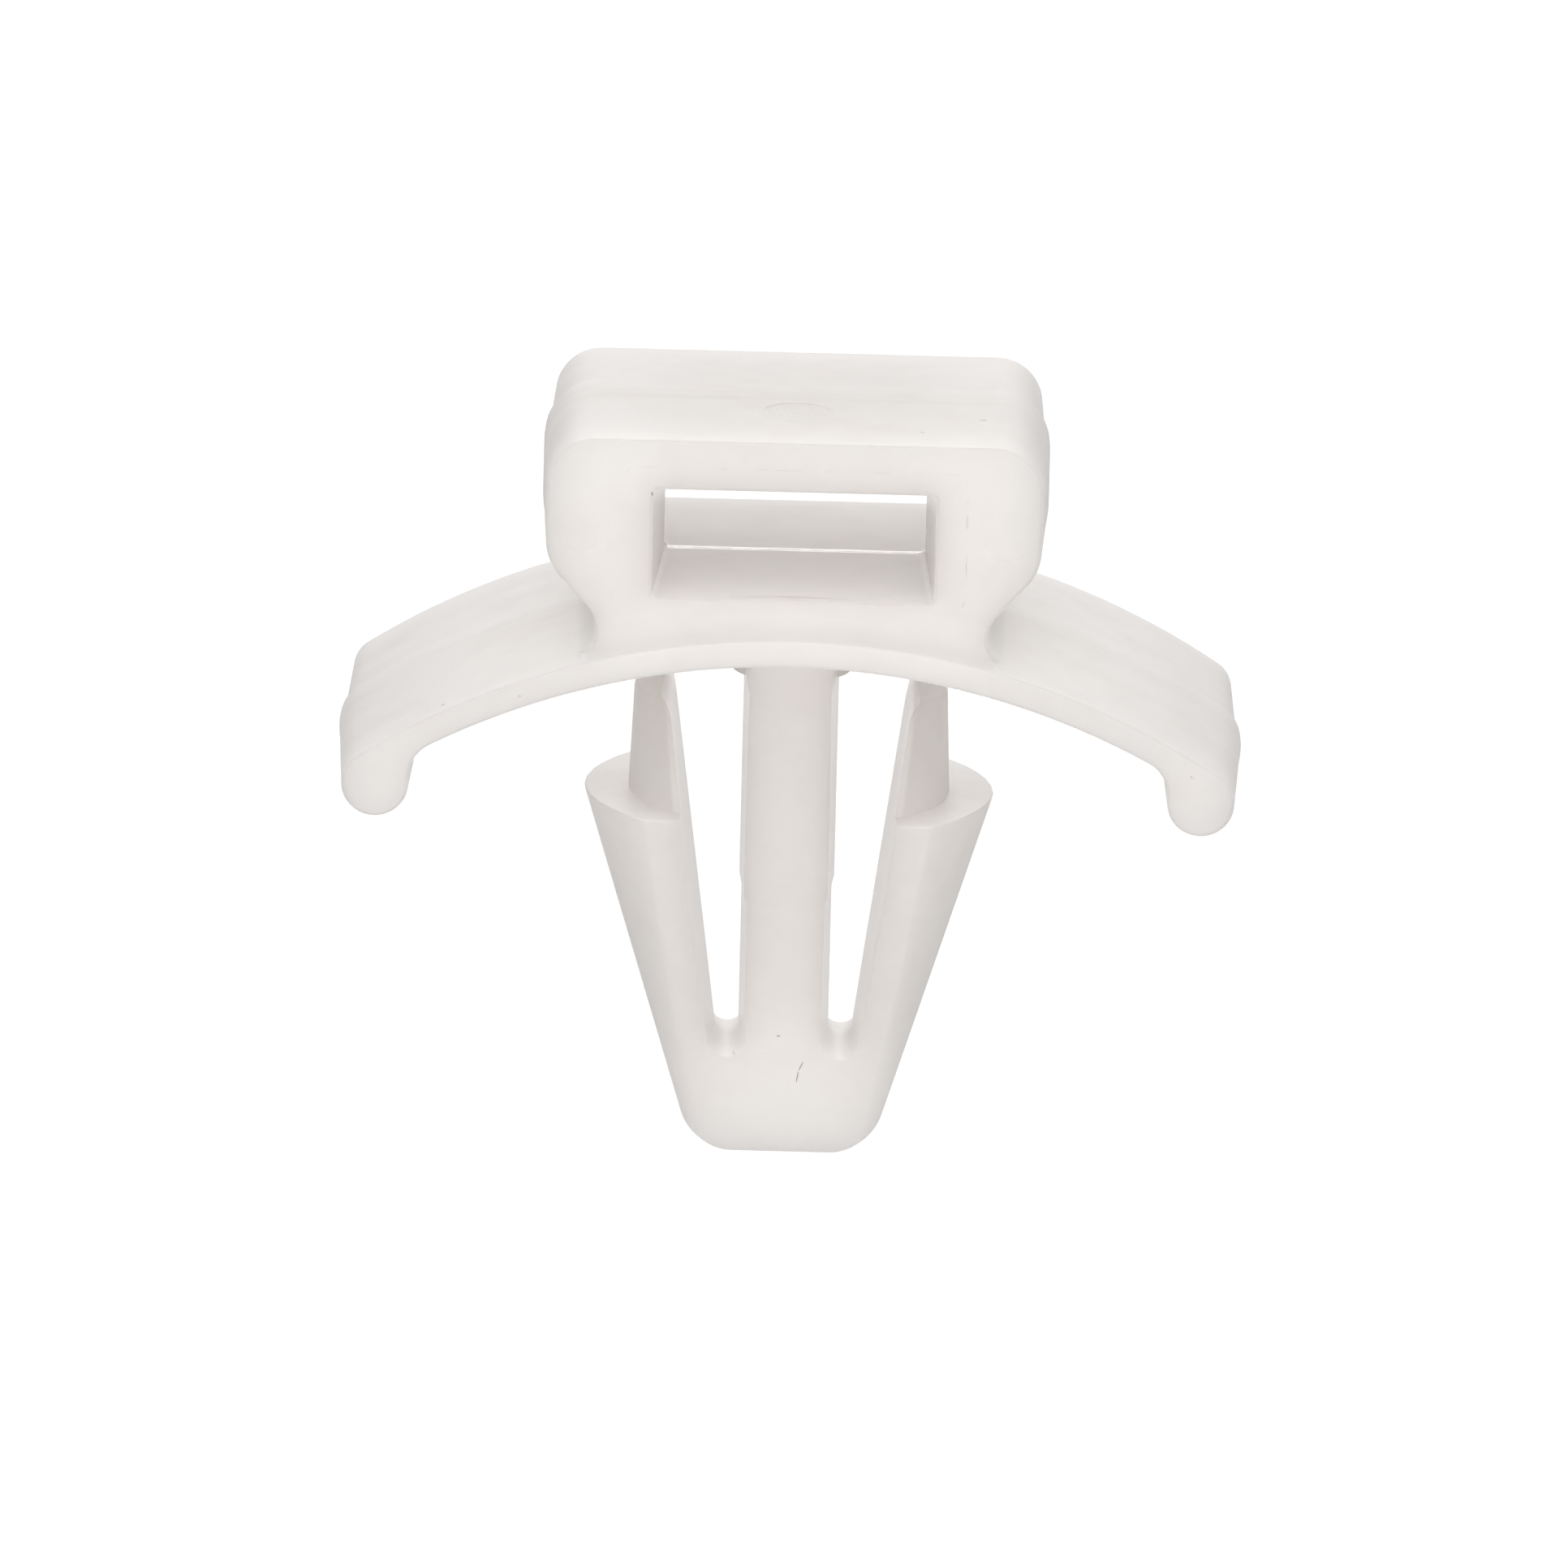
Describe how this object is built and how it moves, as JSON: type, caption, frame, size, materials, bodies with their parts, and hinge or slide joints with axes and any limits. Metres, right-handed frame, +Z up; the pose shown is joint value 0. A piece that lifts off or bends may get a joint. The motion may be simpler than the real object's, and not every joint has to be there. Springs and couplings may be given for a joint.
{
  "type": "cable tie mount",
  "caption": "Push-in cable tie mount with a slotted head, spring wings and a barbed arrowhead that snaps into a round panel hole.",
  "frame": {"origin": "on the axis of the stem, in the plane of the two barb shoulders that catch the back of the panel", "axes": "+X across the two wings, +Y along the tie slot from the front to the back, +Z up from the panel to the head"},
  "size_m": [0.0166, 0.0086, 0.0143],
  "materials": {
    "natural_nylon": "natural moulded nylon, milky, satin"
  },
  "bodies": {
    "root": {"tie_mount": "natural_nylon"}
  },
  "joints": []
}
